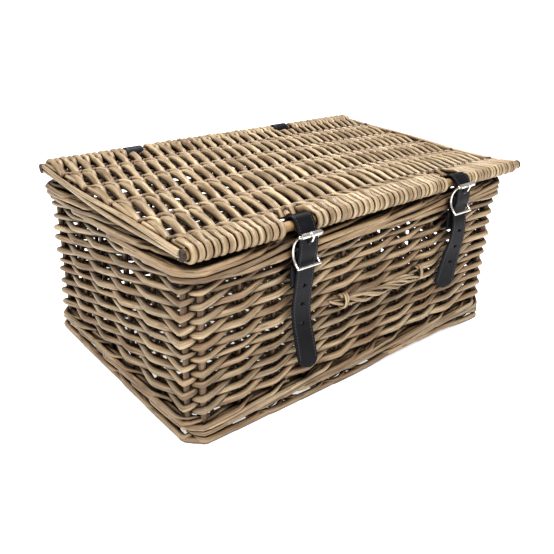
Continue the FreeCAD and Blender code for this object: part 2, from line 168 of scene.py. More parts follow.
def noise(tree, vector, scale, detail, rough=0.5):
    values = {"Vector": vector, "Scale": scale, "Detail": detail, "Roughness": rough}
    return add_node(tree, "ShaderNodeTexNoise", values).outputs[0]


def bumped(tree, shader, height, strength, distance):
    values = {"Height": height, "Strength": strength, "Distance": distance}
    fill(tree, shader, {"Normal": add_node(tree, "ShaderNodeBump", values).outputs[0]})


def object_place(tree):
    return add_node(tree, "ShaderNodeTexCoord").outputs["Object"]


def new_material(name):
    material = bpy.data.materials.new(name)
    material.use_nodes = True
    return material, material.node_tree, material.node_tree.nodes["Principled BSDF"]


# --- willow ---

RODS_APART = 61.0
STAINS = [(0.34, (0.50, 0.40, 0.33)), (0.50, (0.86, 0.80, 0.74)), (0.66, (1.22, 1.20, 1.14))]
# Painted shade: colour steps that darken the willow towards near black where ambient occlusion finds rods
# close by, in the crevices and gaps of the weave.
CREVICE_SHADE = [(0.18, (0.05, 0.033, 0.022)), (0.50, (0.44, 0.37, 0.30)), (0.80, (1, 1, 1))]
CREVICE_SHADE_REACH = 14 * MM
LUMPS_PER_METRE = 110.0


def rod_coordinates(tree, along_scale, round_scale):
    """A place on a rod's bark: along the rod, and round it without a seam."""
    ring = add_node(tree, "ShaderNodeSeparateXYZ", {0: attribute(tree, "ring", "Vector")})
    shade = maths(tree, "MULTIPLY", attribute(tree, "shade", "Fac"), RODS_APART)
    along = maths(tree, "MULTIPLY", attribute(tree, "along", "Fac"), along_scale)
    place = add_node(tree, "ShaderNodeCombineXYZ", {0: maths(tree, "ADD", along, shade)})
    for axis in (1, 2):
        fill(tree, place, {axis: maths(tree, "MULTIPLY", ring.outputs[axis - 1], round_scale)})
    return place.outputs[0]


def willow(name, tints, dark, knots, roughness, streak_depth):
    """Peeled willow with a wash: a tint for each rod, lengthwise streaks, knots, stains, and painted shade
    darkening the crevices between rods.
    """
    material, tree, shader = new_material(name)
    dark = (*dark, 1)
    spread = [(i / (len(tints) - 1), tint) for i, tint in enumerate(tints)]
    base = colour_steps(tree, attribute(tree, "shade", "Fac"), spread)
    patches = noise(tree, rod_coordinates(tree, 16.0, 0.9), 1.0, 3.0)
    stained = mixed(tree, "MULTIPLY", 1.0, base, colour_steps(tree, patches, STAINS))
    streaks = noise(tree, rod_coordinates(tree, 55.0, 5.0), 1.0, 4.0, 0.65)
    grain = colour_steps(tree, streaks, [(0.32, grey(1)), (0.56, grey(0))])
    streaked = mixed(tree, "MIX", maths(tree, "MULTIPLY", grain, streak_depth), stained, dark)
    values = {"Vector": rod_coordinates(tree, 30.0, 0.8), "Scale": 1.0, "Randomness": 1.0}
    spots = add_node(tree, "ShaderNodeTexVoronoi", values)
    knot = colour_steps(tree, spots.outputs["Distance"], [(0.06, grey(1)), (0.20, grey(0))])
    knotted = mixed(tree, "MIX", maths(tree, "MULTIPLY", knot, knots), streaked, dark)
    # Painted shade: ambient occlusion darkens the colour in the crevices of the weave, standing in for the
    # shade that falls there.
    shade = add_node(tree, "ShaderNodeAmbientOcclusion", {"Distance": CREVICE_SHADE_REACH}, samples=6)
    painted_shade = colour_steps(tree, shade.outputs["AO"], CREVICE_SHADE)
    values = {"Value": streaks, "To Min": roughness + 0.16, "To Max": roughness - 0.12}
    gloss = add_node(tree, "ShaderNodeMapRange", values)
    height = maths(tree, "SUBTRACT", streaks, maths(tree, "MULTIPLY", knot, 0.6))
    bumped(tree, shader, height, 0.6, 0.6 * MM)
    # The willow's colour is multiplied by the painted crevice shade.
    colour = mixed(tree, "MULTIPLY", 1.0, knotted, painted_shade)
    fill(tree, shader, {"Base Color": colour, "Roughness": gloss.outputs[0], "Specular IOR Level": 0.5})
    return material


def new_tree(name, inputs):
    """A geometry node tree, what it is given, and the drawn lines that come in."""
    tree = bpy.data.node_groups.new(name, "GeometryNodeTree")
    for way in ("INPUT", "OUTPUT"):
        tree.interface.new_socket("Geometry", in_out=way, socket_type="NodeSocketGeometry")
    for given, kind in inputs.items():
        tree.interface.new_socket(given, in_out="INPUT", socket_type="NodeSocket" + kind)
    given = add_node(tree, "NodeGroupInput").outputs
    line = add_node(tree, "GeometryNodeMeshToCurve", {0: given["Geometry"]})
    return tree, given, line.outputs[0]


def end_tree(tree, geometry, finish):
    """Ends a tree with everything made real and given its finish."""
    real = add_node(tree, "GeometryNodeRealizeInstances", {0: geometry})
    dressed = add_node(tree, "GeometryNodeSetMaterial", {0: real.outputs[0], "Material": finish})
    add_node(tree, "NodeGroupOutput", {0: dressed.outputs[0]})
    return tree


def named(tree, name, kind):
    return add_node(tree, "GeometryNodeInputNamedAttribute", {"Name": name}, data_type=kind).outputs[0]


def stored(tree, geometry, name, kind, value):
    """The geometry with a value kept on each of its points under a name."""
    values = {0: geometry, "Name": name, "Value": value}
    kept = add_node(tree, "GeometryNodeStoreNamedAttribute", values, data_type=kind, domain="POINT")
    return kept.outputs[0]


def rod_skin_tree():
    """Turns drawn lines into round rods: thickness, an uneven bark and what the bark's finish reads."""
    inputs = {"Sides": "Int", "Bark": "Float", "Lumps": "Float", "Seed": "Int", "Finish": "Material"}
    tree, given, line = new_tree("rod_skin", inputs)
    values = {"ID": named(tree, "number", "INT"), "Seed": given["Seed"]}
    chance = add_node(tree, "FunctionNodeRandomValue", values, data_type="FLOAT")
    line = stored(tree, line, "shade", "FLOAT", chance.outputs[1])
    length = add_node(tree, "GeometryNodeSplineParameter").outputs["Length"]
    line = stored(tree, line, "along", "FLOAT", length)
    hoop = add_node(tree, "GeometryNodeCurvePrimitiveCircle", {"Radius": 1.0, "Resolution": given["Sides"]})
    place = add_node(tree, "GeometryNodeInputPosition").outputs[0]
    ring = stored(tree, hoop.outputs[0], "ring", "FLOAT_VECTOR", place)
    values = {"Curve": line, "Scale": named(tree, "thick", "FLOAT"), "Profile Curve": ring, "Fill Caps": True}
    tube = add_node(tree, "GeometryNodeCurveToMesh", values)
    own = maths(tree, "MULTIPLY", named(tree, "shade", "FLOAT"), 37.0)
    values = {"W": own, "Scale": given["Lumps"], "Detail": 2.0}
    lumps = add_node(tree, "ShaderNodeTexNoise", values, noise_dimensions="4D")
    swing = maths(tree, "SUBTRACT", lumps.outputs[0], 0.5)
    outward = add_node(tree, "GeometryNodeInputNormal").outputs[0]
    values = {0: outward, "Scale": maths(tree, "MULTIPLY", swing, given["Bark"])}
    push = add_node(tree, "ShaderNodeVectorMath", values, operation="SCALE")
    values = {0: tube.outputs[0], "Offset": push.outputs[0]}
    moved = add_node(tree, "GeometryNodeSetPosition", values)
    return end_tree(tree, moved.outputs[0], given["Finish"])


ROD_SKIN = rod_skin_tree()


def worked_out(host, tree, values):
    """Runs a node tree on a host object and gives back its result as a plain mesh object."""
    name = host.name
    modifier = host.modifiers.new("work", "NODES")
    modifier.node_group = tree
    for item in tree.interface.items_tree:
        if item.in_out == "INPUT" and item.name in values:
            modifier[item.identifier] = values[item.name]
    graph = bpy.context.evaluated_depsgraph_get()
    mesh = bpy.data.meshes.new_from_object(host.evaluated_get(graph), depsgraph=graph)
    host.modifiers.remove(modifier)
    bpy.data.objects.remove(host)
    return put_in_scene(name, mesh)


def skin(name, lines, finish, body, nodes, slot, sides=8, bark=0.5 * MM, seed=1):
    """Makes rods from lines, each a pair (places, radii), as one piece that stands for nodes."""
    places = []
    edges = []
    thick = []
    number = []
    for count, (points, radii) in enumerate(lines):
        first = len(places)
        places += points
        edges += [(first + i, first + i + 1) for i in range(len(points) - 1)]
        thick += radii
        number += [count] * len(points)
    mesh = mesh_of(name, places, edges, [])
    mesh.attributes.new("thick", "FLOAT", "POINT").data.foreach_set("value", thick)
    mesh.attributes.new("number", "INT", "POINT").data.foreach_set("value", number)
    values = {"Sides": sides, "Bark": bark, "Lumps": LUMPS_PER_METRE, "Seed": seed, "Finish": finish}
    piece = worked_out(put_in_scene(name, mesh), ROD_SKIN, values)
    piece.data.polygons.foreach_set("use_smooth", [True] * len(piece.data.polygons))
    settle(piece, body, slot, *nodes)
    return piece


def settle(piece, body, slot, *nodes):
    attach(piece, body)
    if nodes:
        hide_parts(*nodes)


# --- places taken from the frame ---


def smooth(t):
    t = min(1.0, max(0.0, t))
    return t * t * (3 - 2 * t)


def middle(node):
    low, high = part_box(node)
    return (low + high) / 2


def level_line(x0, x1, y, z, count):
    return [Vector((x0 + (x1 - x0) * i / count, y, z)) for i in range(count + 1)]


def numbered(stem, count):
    return ["%s_%d" % (stem, n) for n in range(1, count + 1)]


def group_places(node, axis):
    """Middles of the separate sticks in a node, sorted along an axis (0 is X, 1 is Y)."""
    values = sorted({round(v.co[axis], 5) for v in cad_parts[node].data.vertices})
    groups = [[values[0]]]
    for a, b in zip(values, values[1:]):
        if b - a > 12 * MM:
            groups.append([])
        groups[-1].append(b)
    return [(g[0] + g[-1]) / 2 for g in groups]


class Round:
    """The uprights round the basket in order, anticlockwise from the front left corner."""

    def __init__(self):
        first, last = self.posts("front_left")
        run = [first, *self.stakes("front", 0, 1), *self.posts("front_right")]
        run += [*self.stakes("right", 1, 1), *self.posts("back_right")]
        run += [*self.stakes("back", 0, -1), *self.posts("back_left")]
        run += [*self.stakes("left", 1, -1), last]
        self.places = [Vector((p.x, p.y, 0)) for p in run]
        count = len(self.places)
        self.ways = [(self.places[(i + 1) % count] - p).normalized() for i, p in enumerate(self.places)]
        self.outs = []
        for i in range(count):
            way = (self.ways[i - 1] + self.ways[i]).normalized()
            self.outs.append(Vector((way.y, -way.x, 0)))
        self.lengths = [0.0]
        for i, p in enumerate(self.places):
            self.lengths.append(self.lengths[-1] + (self.places[(i + 1) % count] - p).length)

    def posts(self, corner):
        return [middle(node) for node in numbered(corner + "_post", 2)]

    def stakes(self, wall, axis, order):
        run = []
        for place in group_places(wall + "_stakes", axis)[::order]:
            run.append(middle(wall + "_wall_weave"))
            run[-1][axis] = place
        return run

    def count(self):
        return len(self.places)

    def at(self, u):
        """Place and outward direction u uprights round from the first."""
        i = math.floor(u)
        t = u - i
        a = i % self.count()
        b = (i + 1) % self.count()
        return self.places[a].lerp(self.places[b], t), self.outs[a].lerp(self.outs[b], t).normalized()

    def around(self):
        return self.lengths[-1]

    def at_length(self, length):
        length %= self.around()
        i = 0
        while self.lengths[i + 1] < length:
            i += 1
        return self.at(i + (length - self.lengths[i]) / (self.lengths[i + 1] - self.lengths[i]))


# --- basket ---

STAKE_RADIUS = 2.4 * MM
POST_RADIUS = 3.6 * MM
BASE_STICK_RADIUS = 3.9 * MM
BASE_PITCH = 6.3 * MM
ROWS_IN_BAND = 10
FOOT_LIFT = 5 * MM


def bend(turns):
    """How far a rod stands out, from 1 to -1 and back in two bays, straight between tight bends."""
    sharp = 0.95
    return math.asin(sharp * math.cos(math.pi * turns)) / math.asin(sharp)


def randed_walls(run, finish):
    """French randing: one rod started at every upright, each in front of one and behind the next."""
    chance = random.Random(11)
    low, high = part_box("front_wall_weave")
    rise = (high.z - low.z) / (2 * ROWS_IN_BAND)
    steps = (0.0, 0.1, 0.24, 0.42, 0.58, 0.76, 0.9)
    lines = []
    for band in range(2):
        z0 = low.z + (band * (ROWS_IN_BAND - 0.2) + 0.5) * rise
        for k in range(run.count()):
            butt = chance.uniform(3.4, 4.2) * MM
            tip = chance.uniform(2.3, 3.1) * MM
            drift = chance.uniform(-0.8, 0.8) * MM
            sway = [chance.uniform(-1.1, 1.1) * MM for _ in range(ROWS_IN_BAND + 2)]
            points = []
            radii = []
            for j in range(-1, ROWS_IN_BAND):
                for s in steps:
                    turn = j + s
                    if turn < -0.35 or turn > ROWS_IN_BAND - 0.2:
                        continue
                    place, out = run.at(k + turn)
                    radius = butt + (tip - butt) * max(turn, 0) / ROWS_IN_BAND
                    reach = (STAKE_RADIUS + radius) * 0.97
                    z = z0 + turn * rise + drift
                    z += sway[j + 1] * (1 - s) + sway[j + 2] * s
                    points.append(place + out * (-bend(turn) * reach) + Vector((0, 0, z)))
                    radii.append(radius)
            lines.append((points, radii))
    nodes = [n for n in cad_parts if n.endswith(("wall_weave", "corner_weave"))]
    skin("wall_randing", lines, finish, BASKET, nodes, "wall_willow", seed=3)


def uprights(run, finish):
    chance = random.Random(23)
    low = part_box("front_stakes")[0].z
    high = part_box("front_stakes")[1].z
    posts = []
    stakes = []
    corner = {i for i in range(run.count()) if (run.ways[i - 1] - run.ways[i]).length > 0.1}
    for i, place in enumerate(run.places):
        radius = POST_RADIUS if i in corner else STAKE_RADIUS
        points = []
        for step in range(13):
            z = low + (high - low) * step / 12
            nudge = Vector((chance.uniform(-0.25, 0.25), chance.uniform(-0.25, 0.25), 0)) * MM
            points.append(place + nudge + Vector((0, 0, z)))
        line = (points, [radius * chance.uniform(0.94, 1.04) for _ in points])
        (posts if i in corner else stakes).append(line)
    post_nodes = [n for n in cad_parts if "_post_" in n]
    stake_nodes = [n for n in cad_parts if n.endswith("_stakes")]
    skin("corner_posts", posts, finish, BASKET, post_nodes, "frame_willow", seed=5)
    skin("wall_stakes", stakes, finish, BASKET, stake_nodes, "frame_willow", seed=6)


def laid_strands(run, chance, spacing, length, heights, reach, thick, jitter):
    """Overlapping strands round the basket, each rising to the right from the low height to the high.

    reach is how far their middles stand out, first where they show and then where they tuck in."""
    low, high = heights
    near, far = reach
    count = round(run.around() / spacing)
    steps = 26
    lines = []
    for k in range(count):
        first = run.around() * (k + chance.uniform(-0.25, 0.25)) / count
        own = length * chance.uniform(0.85, 1.2)
        radius = chance.uniform(*thick)
        wave = [chance.uniform(-jitter, jitter) for _ in range(3)]
        out_by = near + chance.uniform(-0.8, 0.4) * MM
        points = []
        radii = []
        for i in range(steps + 1):
            t = i / steps
            place, out = run.at_length(first + own * t)
            tuck = smooth(min(t, 1 - t) / 0.16)
            z = low + radius + (high - low - 2 * radius) * t
            z += sum(w * math.sin((n + 1) * math.pi * t) for n, w in enumerate(wave))
            z = min(max(z, low + radius), high - radius)
            points.append(place + out * (far + (out_by - far) * tuck) + Vector((0, 0, z)))
            radii.append(radius * (1.08 - 0.28 * t))
        lines.append((points, radii))
    return lines


def foot_strands(run, chance, low, high, near, far):
    """Thick strands that dip under one another at every upright, lifted a little at the front right."""
    count = run.count()
    steps = 24
    lines = []
    for k in range(count):
        radius = chance.uniform(3.3, 4.2) * MM
        reach = chance.uniform(2.4, 3.0)
        points = []
        radii = []
        for i in range(steps + 1):
            t = i / steps
            place, out = run.at(k + 0.1 + reach * t)
            show = smooth(min(t / 0.28, (1 - t) / 0.24))
            z = low + radius + (1 - show) * (high - low - 1.4 * radius) + 1.6 * MM * max(0.0, t - 0.45)
            if place.y < 0:
                lifted = smooth((place.x + 20 * MM) / (70 * MM)) * smooth((180 * MM - place.x) / (50 * MM))
                z += FOOT_LIFT * lifted
            points.append(place + out * (far + (near - far) * show) + Vector((0, 0, z)))
            radii.append(radius * (1.05 - 0.25 * t))
        lines.append((points, radii))
    return lines


def bands(run, wall, border):
    """The foot rope, the waling over it and the border's plait, each from its face inwards."""
    chance = random.Random(31)
    wall_y = middle("front_wall_weave").y

    def laid(spacing, length, heights, reach, thick, jitter):
        return laid_strands(run, chance, spacing * MM, length * MM, heights, reach, thick, jitter * MM)

    low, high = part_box("foot_border")
    lines = foot_strands(run, chance, low.z, high.z, wall_y - low.y - 3.6 * MM, -3 * MM)
    heights = (low.z + 2 * MM, high.z + 2.5 * MM)
    lines += laid(42, 150, heights, (-3.5 * MM, 0.0), (2.4 * MM, 3 * MM), 1)
    skin("foot_rope", lines, border, BASKET, ["foot_border"], "wall_willow", seed=8)
    low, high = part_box("lower_wale")
    heights = (low.z - 0.8 * MM, high.z + 1.5 * MM)
    lines = laid(32, 150, heights, (wall_y - low.y - 1.6 * MM, -1 * MM), (2.1 * MM, 3 * MM), 1.2)
    lines += laid(45, 150, (low.z, high.z), (1 * MM, -3 * MM), (2.4 * MM, 2.9 * MM), 1)
    lines += laid(45, 150, (low.z, high.z), (-4.8 * MM, 0.0), (2.4 * MM, 2.9 * MM), 1)
    skin("lower_waling", lines, wall, BASKET, ["lower_wale"], "wall_willow", seed=9)
    low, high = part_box("front_border")
    heights = (low.z, high.z)
    face = wall_y - low.y
    lines = laid(41, 190, heights, (face - 2.6 * MM, 0.0), (2.5 * MM, 3.5 * MM), 1.3)
    lines += laid(40, 190, heights, (face - 7 * MM, 0.0), (2.8 * MM, 3.4 * MM), 1)
    lines += laid(40, 190, heights, (-4.4 * MM, 0.0), (2.6 * MM, 3.3 * MM), 1)
    nodes = [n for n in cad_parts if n.endswith("_border") and n != "foot_border"]
    skin("border_plait", lines, border, BASKET, nodes, "wall_willow", seed=10)


def base(finish):
    """Stout sticks lengthwise, woven across."""
    chance = random.Random(41)
    low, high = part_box("base_weave")
    z = (low.z + high.z) / 2
    rows = group_places("base_sticks", 1)
    thick = [BASE_STICK_RADIUS] * 21
    sticks = [(level_line(low.x + 3 * MM, high.x - 3 * MM, y, z, 20), thick) for y in rows]
    skin("base_rods", sticks, finish, BASKET, ["base_sticks"], "frame_willow", seed=12)
    first = low.y + 2 * MM
    across = high.y - low.y - 4 * MM
    total = int(across / (5 * MM))
    lines = []
    for i in range(int((high.x - low.x - 10 * MM) / BASE_PITCH)):
        x = low.x + 8 * MM + i * BASE_PITCH
        radius = chance.uniform(2.3, 2.8) * MM
        points = []
        for n in range(total + 1):
            y = first + across * n / total
            wave = math.cos(math.pi * (y - rows[0]) / (rows[1] - rows[0]) + math.pi * i)
            away = wave * (BASE_STICK_RADIUS + radius) * 0.9
            points.append(Vector((x + chance.uniform(-0.3, 0.3) * MM, y, z + away)))
        lines.append((points, [radius] * len(points)))
    skin("base_weavers", lines, finish, BASKET, ["base_weave"], "frame_willow", sides=6, seed=13)


# --- lid ---

LID_PITCH = 7.4 * MM
TIGHT_PITCH = 5.7 * MM
WRAP_STEP = 20
PRESS_WIDTH = 12 * MM
CROSS_STICK = 2.5 * MM
LOOSE_FROM = 0.62
EDGE_DIP = 20.0
SETTLED = 0.5 * MM
AT_STICK = {
    True: ((14.0, -1.3, 0.7), (0.0, 0.0, 0.0), (-15.0, -1.2, -0.7)),
    False: ((4.0, 0.0, 0.0), (-10.0, 0.0, -0.5)),
}
AT_BINDER = {
    True: ((5.0, 2.8, -1.0), (0.0, 1.2, 0.0), (-5.0, 2.8, 1.0)),
    False: ((5.0, 2.6, -1.0), (0.0, 4.6, 0.0), (-5.0, 3.6, 1.0)),
}
WRAP_SHARE = 0.445
STRAP_GAP = (-19 * MM, 13 * MM)
HINGE_GAP = 14 * MM
BINDER_OVER = 6.4 * MM
BINDER_UNDER = 0.4 * MM
ROW_BENDS = ((-2.0, 3.0, -7.0), (-3.0, 5.0, -9.0), (-6.0, 7.0, -10.0), (-8.0, 7.0, -6.0), (-4.0, 2.0, -4.0))
ROWS = len(ROW_BENDS)
EDGE_RODS = ((3.0, 2.2, 1.6), (2.2, -2.6, 3.0), (-2.6, 4.4, 1.0))


def through_three(t, left, centre, right):
    """A smooth curve with its values at the left end, the middle and the right end."""
    return left * (1 - t) * (1 - 2 * t) + centre * 4 * t * (1 - t) + right * t * (2 * t - 1)


class LidPlan:
    """Where the lid's sticks and rows lie."""

    def __init__(self):
        self.front = middle("lid_front_stick")
        self.back = middle("lid_back_stick")
        self.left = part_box("lid_weave")[0].x
        self.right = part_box("lid_weave")[1].x
        low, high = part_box("lid_front_stick")
        self.stick_radius = (high.z - low.z) / 2
        self.z = self.front.z
        self.sticks = [middle(node).y for node in numbered("lid_cross_stick", ROWS)]
        self.binders = [middle(node).y for node in numbered("lid_binding_rod", ROWS)]
        self.rods = []
        self.straps = [middle(side + "_strap").x for side in SIDES]
        self.hinges = [middle(side + "_hinge_loop").x for side in SIDES]

    def part(self, x):
        return (x - self.left) / (self.right - self.left)

    def binder_y(self, row, x):
        return self.binders[row] + through_three(self.part(x), *ROW_BENDS[row]) * MM

    def stick_y(self, row, x):
        bow = 0.5 * through_three(self.part(x), *ROW_BENDS[row]) * MM
        if row:
            bow += 0.5 * through_three(self.part(x), *ROW_BENDS[row - 1]) * MM
        return self.sticks[row] + bow

    def edge_dip(self, y):
        """How far the loose right edge draws in, most of all near the front."""
        t = min(1.0, max(0.0, (y - self.front.y) / (self.back.y - self.front.y)))
        dip = EDGE_DIP * math.sin(math.pi * t ** 0.62) ** 0.8
        return (dip + 2.0 * math.sin(9 * t) * math.sin(math.pi * t)) * MM

    def inward(self, x, y):
        """How far a place in the weave is drawn in by the loose right edge."""
        return smooth((self.part(x) - LOOSE_FROM) / (1 - LOOSE_FROM)) * self.edge_dip(y)


def over_stick(centre_y, z, reach, x, first, last):
    """Places round a lid stick; angles from +Y, in degrees."""
    count = max(2, int(abs(last - first) / WRAP_STEP))
    turns = [math.radians(first + (last - first) * i / count) for i in range(count + 1)]
    return [Vector((x, centre_y + reach * math.cos(a), z + reach * math.sin(a))) for a in turns]


def lid_rod(plan, x, over, radius, lean, from_back, to_front):
    """One rod of the lid, from under the back stick to under the front stick.

    Its knots are a depth, a height and how far it leans; over says that it passes over the sticks."""
    under = -(CROSS_STICK + radius) * 0.9
    level = CROSS_STICK + radius - SETTLED if over else under
    if from_back:
        knots = [(plan.back.y, plan.stick_radius + radius, lean)]
        knots += [(plan.back.y - 8 * MM, plan.stick_radius + 0.6 * radius, lean)]
    else:
        knots = [(plan.stick_y(0, x) + 14 * MM, 0.0 if over else under, lean)]
    for row in range(ROWS):
        steps = AT_STICK[over]
        if over and not row and not from_back:
            steps = steps[1:]
        y = plan.stick_y(row, x)
        knots += [(y + dy * MM, level + dz * MM, lean * share) for dy, dz, share in steps]
        steps = AT_BINDER[over] if row < ROWS - 1 else AT_BINDER[over][:-1]
        y = plan.binder_y(row, x)
        knots += [(y + dy * MM, z * MM, lean * share) for dy, z, share in steps]
    if to_front:
        knots.append((plan.front.y + 8 * MM, plan.stick_radius + radius * 0.9, 0.0))
        knots.append((plan.front.y, plan.stick_radius + radius, 0.0))
    else:
        knots.append((plan.binder_y(ROWS - 1, x) - 5 * MM, -1.0 * MM, 0.0))
    points = []
    for (ya, za, xa), (yb, zb, xb) in zip(knots, knots[1:]):
        count = max(1, round(abs(yb - ya) / (5.0 * MM)))
        for i in range(count):
            t = i / count
            y = ya + (yb - ya) * t
            across = x + xa + (xb - xa) * t - plan.inward(x, y)
            points.append(Vector((across, y, plan.z + za + (zb - za) * smooth(t))))
    points.append(Vector((x, knots[-1][0], plan.z + knots[-1][1])))
    reach = plan.stick_radius + radius
    if from_back:
        wrap = over_stick(plan.back.y, plan.z, reach, x + lean, -100, 70)
        points = [wrap[0] + Vector((0, -12 * MM, 0))] + wrap + points[1:]
    if to_front:
        wrap = over_stick(plan.front.y, plan.z, reach, x, 110, 280)
        points = points[:-1] + wrap + [wrap[-1] + Vector((0, 12 * MM, 0.5 * MM))]
    return points


def press_onto(piece, centre, radius):
    """Flattens rods where they lie tight round a stick along X."""
    for vertex in piece.data.vertices:
        y = vertex.co.y - centre.y
        z = vertex.co.z - centre.z
        away = math.hypot(y, z)
        inner = -y if centre.y > 0 else y
        ease = smooth((PRESS_WIDTH - inner) / (0.5 * PRESS_WIDTH))
        if away > radius and away < 3 * radius and ease > 0:
            pressed = radius + (away - radius) * (1 - 0.42 * ease)
            vertex.co.y = centre.y + y * pressed / away
            vertex.co.z = centre.z + z * pressed / away


def lid_rods(plan, finish):
    chance = random.Random(51)
    right = plan.right - 9.0 * MM
    x = plan.left + 8.5 * MM
    lines = []
    count = 0
    while x < right:
        tight = smooth((plan.part(x) - 0.35) / 0.5)
        pitch = LID_PITCH + (TIGHT_PITCH - LID_PITCH) * tight
        over = count % 2 == 0
        plan.rods.append((x, over))
        share = chance.uniform(0.50, 0.57) if over else chance.uniform(0.43, 0.49)
        radius = pitch * share * (1 - 0.14 * tight)
        lean = (3.2 + 2.4 * tight + chance.uniform(-0.7, 0.7)) * MM
        to_front = not any(STRAP_GAP[0] < x - s < STRAP_GAP[1] for s in plan.straps)
        from_back = not any(abs(x + lean - h) < HINGE_GAP for h in plan.hinges)
        points = lid_rod(plan, x, over, radius, lean, from_back, to_front)
        wrapped = min(radius, pitch * WRAP_SHARE)
        radii = [wrapped if p.y < plan.front.y + 6 * MM else radius for p in points]
        lines.append((points, radii))
        x += pitch * chance.uniform(0.95, 1.05)
        count += 1
    piece = skin("lid_rods", lines, finish, LID, ["lid_weave"], "lid_willow", seed=21)
    for stick in (plan.front, plan.back):
        press_onto(piece, stick, plan.stick_radius)


def lid_sticks(plan, bare, dark, end):
    """The front and back rails with their cut ends, the cross sticks and the rods that bind them."""
    chance = random.Random(57)
    ends = []
    for place in ("front", "back"):
        node = "lid_%s_stick" % place
        low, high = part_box(node)
        y = (low.y + high.y) / 2
        points = level_line(low.x, high.x, y, plan.z, 40)
        radii = [plan.stick_radius * chance.uniform(0.96, 1.0) for _ in points]
        name = "lid_%s_rail" % place
        skin(name, [(points, radii)], bare, LID, [node], "lid_willow", sides=14, bark=0.3 * MM, seed=22)
        for x0, x1 in ((low.x - 0.4 * MM, low.x + 3 * MM), (high.x - 1.5 * MM, high.x + 0.4 * MM)):
            ends.append((level_line(x0, x1, y, plan.z, 4), [plan.stick_radius * 1.03] * 5))
    skin("rail_end_grain", ends, end, LID, [], "lid_willow", sides=14, seed=23)
    left = plan.left + 2 * MM
    right = plan.right - 2 * MM
    lines = []
    for row in range(ROWS):
        points = []
        for i in range(51):
            x = left + (right - left) * i / 50
            y = plan.stick_y(row, x)
            points.append(Vector((x - plan.inward(x, y), y, plan.z)))
        lines.append((points, [CROSS_STICK] * len(points)))
    nodes = numbered("lid_cross_stick", ROWS)
    skin("lid_cross_sticks", lines, dark, LID, nodes, "lid_willow", seed=24)
    crossings = [(left, True)] + plan.rods + [(right, True)]
    lines = []
    for row in range(ROWS):
        points = []
        for (x0, over0), (x1, over1) in zip(crossings, crossings[1:]):
            for part in (0.0, 0.5):
                x = x0 + (x1 - x0) * part
                y = plan.binder_y(row, x)
                first = BINDER_OVER if over0 else BINDER_UNDER
                second = BINDER_OVER if over1 else BINDER_UNDER
                z = plan.z + first * (1 - part) + second * part
                points.append(Vector((x - plan.inward(x, y), y + chance.uniform(-0.7, 0.7) * MM, z)))
        lines.append((points, [chance.uniform(1.7, 2.1) * MM] * len(points)))
    nodes = numbered("lid_binding_rod", ROWS)
    skin("lid_binders", lines, dark, LID, nodes, "lid_willow", seed=25)


def lid_edges(plan, finish):
    """Long rods along each end of the lid; those at the right are drawn in near the front."""
    chance = random.Random(61)
    steps = 40
    for side, sign in (("left", -1), ("right", 1)):
        node = "lid_%s_edge_rod" % side
        x = middle(node).x
        lines = []
        for n, (away, rise, bow) in enumerate(EDGE_RODS):
            points = []
            for i in range(steps + 1):
                t = i / steps
                y = plan.front.y + 1 * MM + (plan.back.y - plan.front.y - 2 * MM) * t
                offset = sign * (away + bow * math.sin(math.pi * t) + 0.8 * math.cos(9 * t + 2 * n)) * MM
                if side == "right":
                    offset -= plan.edge_dip(y) * (0.86 - 0.10 * n)
                z = plan.z + (rise + 0.9 * math.sin(7 * t + 2 * n)) * MM
                points.append(Vector((x + offset, y, z)))
            radius = chance.uniform(2.5, 3.1) * MM
            lines.append((points, [radius * (1 - 0.25 * i / steps) for i in range(steps + 1)]))
        skin("lid_%s_edge" % side, lines, finish, LID, [node], "lid_willow", seed=26)


# --- handle ---

HANDLE_STRANDS = 5
HANDLE_BOW = 11 * MM
HANDLE_TURNS = 1.9
TIE_RADIUS = 1.7 * MM


def handle(finish):
    """Thin rods twisted loosely together and bowed out from the front wall, tied in at both ends."""
    chance = random.Random(71)
    low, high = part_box("front_handle")
    wall = high.y
    left = low.x + 6 * MM
    span = high.x - low.x - 12 * MM
    middle_z = (low.z + high.z) / 2
    lines = []
    count = 60
    for strand in range(HANDLE_STRANDS):
        points = []
        wander = [chance.uniform(-1.0, 1.0) * MM for _ in range(4)]
        start = chance.uniform(-9, 4) * MM
        finish_at = chance.uniform(-4, 10) * MM
        for i in range(count + 1):
            t = i / count
            swell = math.sin(math.pi * t)
            x = left + start + (span - start + finish_at) * t
            y = wall - HANDLE_BOW * math.sqrt(swell) + 5 * MM * (1 - swell) ** 3
            z = middle_z + 2.5 * MM * swell - 2 * MM
            angle = math.tau * (HANDLE_TURNS * t + strand / HANDLE_STRANDS)
            twist = (2.6 + 0.9 * math.sin(7 * t + strand)) * MM
            y += twist * 0.8 * math.cos(angle) + wander[0] * math.sin(5 * t)
            z += twist * 1.3 * math.sin(angle) + wander[1] * math.sin(8 * t) + wander[2] * (1 - swell) * 3
            points.append(Vector((x, y, z)))
        radius = chance.uniform(1.6, 2.3) * MM
        lines.append((points, [radius * (1 - 0.3 * i / count) for i in range(count + 1)]))
    for x, turns in ((left + 5 * MM, 2.2), (left + span - 5 * MM, 2.7)):
        points = []
        for i in range(45):
            t = i / 44
            angle = math.tau * turns * t + 1.0
            reach = (6.0 + 1.5 * math.sin(6 * t)) * MM
            y = wall - 3.5 * MM - 0.8 * reach * math.cos(angle)
            points.append(Vector((x + 8 * MM * (t - 0.5), y, middle_z - 1 * MM + reach * math.sin(angle))))
        lines.append((points, [TIE_RADIUS] * len(points)))
    skin("handle_rope", lines, finish, BASKET, ["front_handle"], "wall_willow", seed=29)


# --- leather ---

